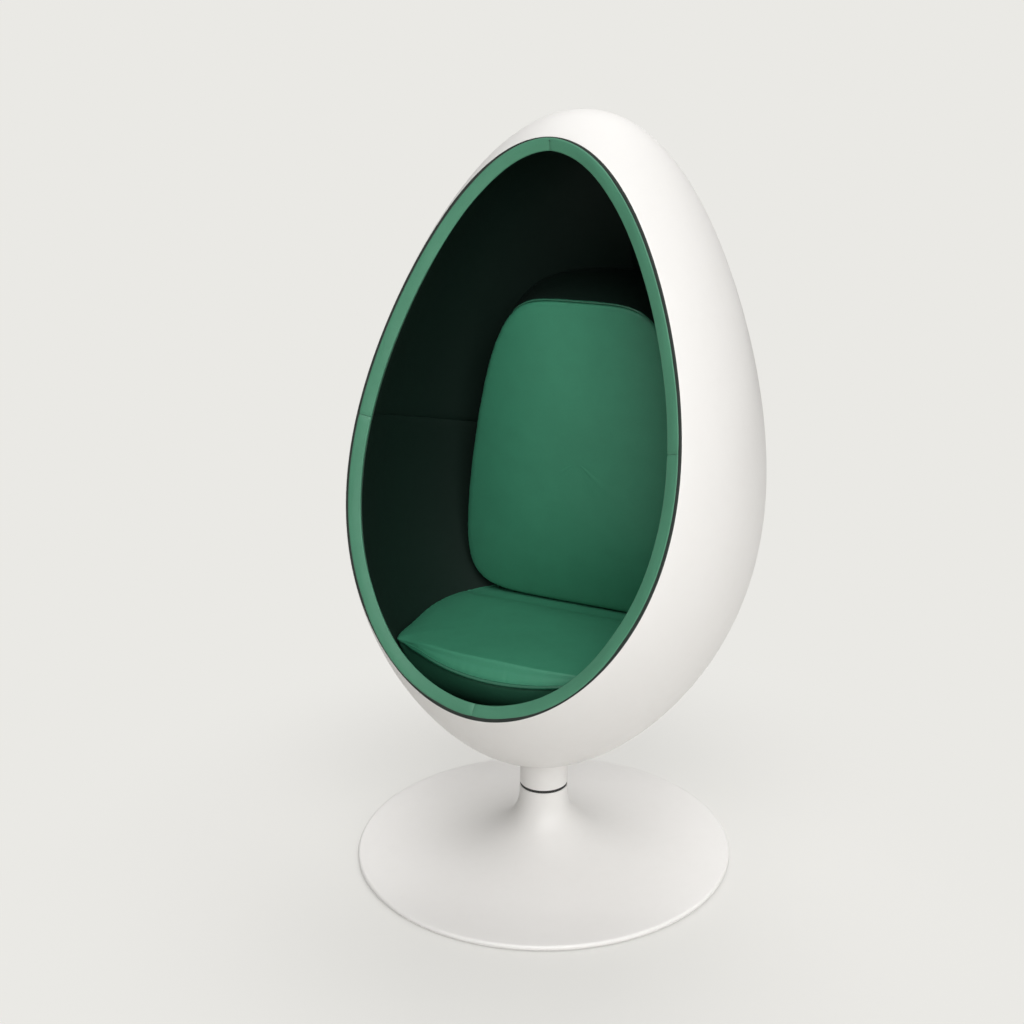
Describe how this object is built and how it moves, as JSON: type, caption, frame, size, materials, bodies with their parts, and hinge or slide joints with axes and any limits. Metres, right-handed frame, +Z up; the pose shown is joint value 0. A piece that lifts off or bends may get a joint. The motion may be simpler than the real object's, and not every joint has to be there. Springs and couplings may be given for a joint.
{
  "type": "pod chair",
  "caption": "Egg-shaped pod lounge chair: moulded shell with padded lining, loose seat and back cushions, swivelling on a weighted trumpet base.",
  "frame": {"origin": "centre of the base's underside, on the floor, on the swivel's axis", "axes": "+Z up along the swivel's axis, the opening faces -Y, +X is the right-hand side of the chair seen from its front"},
  "size_m": [0.714, 0.7436, 1.2953],
  "materials": {
    "gel_coat_shell": "polished white gel coat on glass-fibre, gloss",
    "gel_coat_base": "white lacquer, gloss",
    "rim_vinyl": "green vinyl, satin",
    "lining_vinyl": "green vinyl, satin",
    "cushion_vinyl": "green vinyl, satin, fine grain",
    "trim_rubber": "black, matt",
    "seal_rubber": "black, matt",
    "bush_plastic": "black, matt",
    "bare_steel": "turned steel, oiled",
    "zinc_steel": "zinc plated",
    "felt": "dense felt",
    "plywood": "birch plywood, raw",
    "hook_and_loop": "woven nylon pile"
  },
  "bodies": {
    "base": {"base_shell": "gel_coat_base", "ballast_plate": "bare_steel", "floor_pad": "felt", "base_screws": "zinc_steel", "column": "bare_steel", "column_bolts": "zinc_steel", "lower_bush": "bush_plastic", "upper_bush": "bush_plastic", "thrust_washer": "zinc_steel", "dust_ring": "seal_rubber"},
    "pod": {"spindle": "bare_steel", "retaining_washer": "zinc_steel", "retaining_screw": "zinc_steel", "shell_packer": "bush_plastic", "neck_collar": "gel_coat_base", "reinforcing_plate": "bare_steel", "mounting_bolts": "zinc_steel", "mounting_washers": "zinc_steel", "mounting_nuts": "zinc_steel", "outer_shell": "gel_coat_shell", "edge_trim": "trim_rubber", "tack_strip": "bush_plastic", "rim_pad_upper_right": "rim_vinyl", "rim_pad_upper_left": "rim_vinyl", "rim_pad_lower_right": "rim_vinyl", "rim_pad_lower_left": "rim_vinyl", "lining_upper_right": "lining_vinyl", "lining_upper_left": "lining_vinyl", "lining_lower_right": "lining_vinyl", "lining_lower_left": "lining_vinyl", "seat_board": "plywood", "board_cleats": "plywood", "board_screws": "zinc_steel", "seat_cushion": "cushion_vinyl", "back_cushion": "cushion_vinyl", "fastening_strips": "hook_and_loop"}
  },
  "joints": [
    {"name": "pod_swivel", "type": "hinge", "parent": "base", "child": "pod", "pos_m": [0, 0, 0.13], "axis": [0, 0, 1], "continuous": true}
  ]
}
